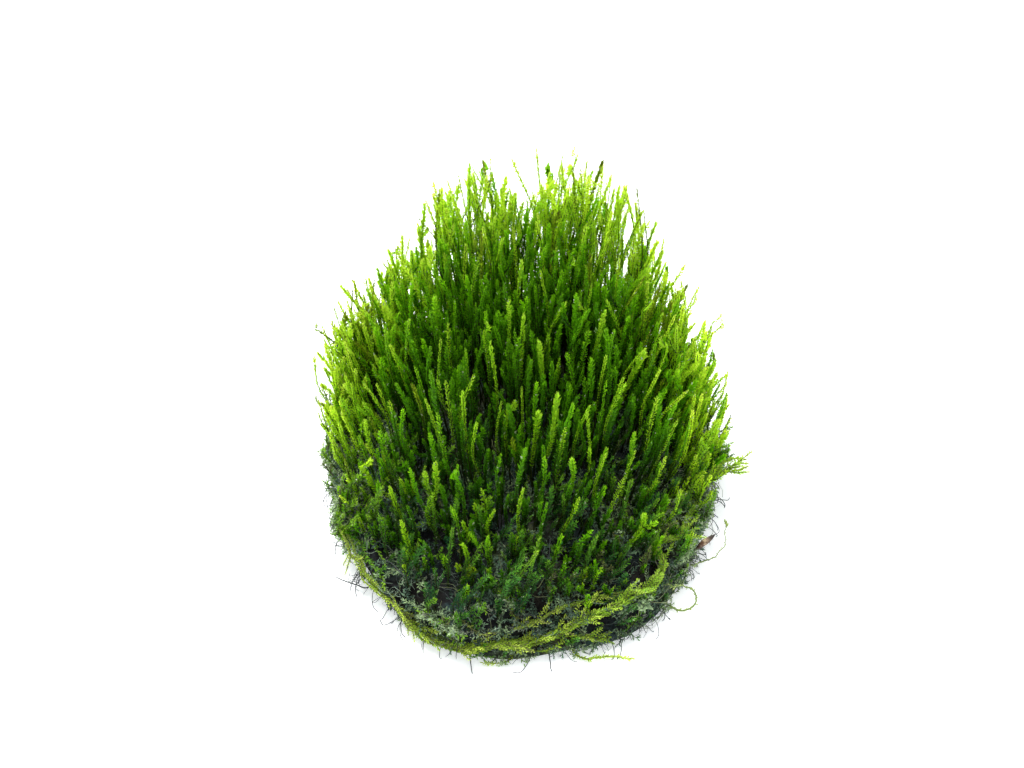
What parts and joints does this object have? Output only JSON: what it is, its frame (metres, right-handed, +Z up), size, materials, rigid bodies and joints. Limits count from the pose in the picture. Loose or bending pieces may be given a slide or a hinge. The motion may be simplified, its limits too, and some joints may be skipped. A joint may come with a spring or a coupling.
{
  "type": "flame moss",
  "caption": "Round pad of aquarium moss: upright leafy shoots in tufts, tallest at the back, with creeping runners round a dark matted rim.",
  "frame": {"origin": "middle of the clump's box, on the surface that it stands on", "axes": "+Z up along the shoots, -Y the front with the shortest shoots and the runners, +X to the right"},
  "size_m": [0.0822, 0.0832, 0.051],
  "materials": {
    "old_moss": "dark, wet, matted old moss, rough and fibrous",
    "shoots": "fresh leafy shoots, deep green below and yellow-green at the tips, slightly wet",
    "runners": "yellow-green leafy runners",
    "strands": "pale green loose strands",
    "threads": "dark thin root threads",
    "dead_leaf": "dull brown rolled dead leaf"
  },
  "bodies": {
    "root": {"dead_leaf": "dead_leaf", "moss_pad": "old_moss", "runner_front": "runners", "runner_front_fork": "runners", "runner_left": "runners", "runner_right": "runners", "runner_upper": "runners", "shoot_tuft_01": "shoots", "shoot_tuft_02": "shoots", "shoot_tuft_03": "shoots", "shoot_tuft_04": "shoots", "shoot_tuft_05": "shoots", "shoot_tuft_06": "shoots", "shoot_tuft_07": "shoots", "shoot_tuft_08": "shoots", "shoot_tuft_09": "shoots", "shoot_tuft_10": "shoots", "shoot_tuft_11": "shoots", "shoot_tuft_12": "shoots", "shoot_tuft_13": "shoots", "shoot_tuft_14": "shoots", "shoot_tuft_15": "shoots", "shoot_tuft_16": "shoots", "shoot_tuft_17": "shoots", "shoot_tuft_18": "shoots", "shoot_tuft_19": "shoots", "shoot_tuft_20": "shoots", "shoot_tuft_21": "shoots", "shoot_tuft_22": "shoots", "shoot_tuft_23": "shoots", "shoot_tuft_24": "shoots", "shoot_tuft_25": "shoots", "shoot_tuft_26": "shoots", "shoot_tuft_27": "shoots", "shoot_tuft_28": "shoots", "shoot_tuft_29": "shoots", "shoot_tuft_30": "shoots", "shoot_tuft_31": "shoots", "shoot_tuft_32": "shoots", "shoot_tuft_33": "shoots", "shoot_tuft_34": "shoots", "strand_floor_front": "strands", "strand_floor_right": "strands", "strand_loop": "strands", "strand_right": "strands", "thread_front": "threads", "thread_front_loop": "threads", "thread_left": "threads"}
  },
  "joints": []
}
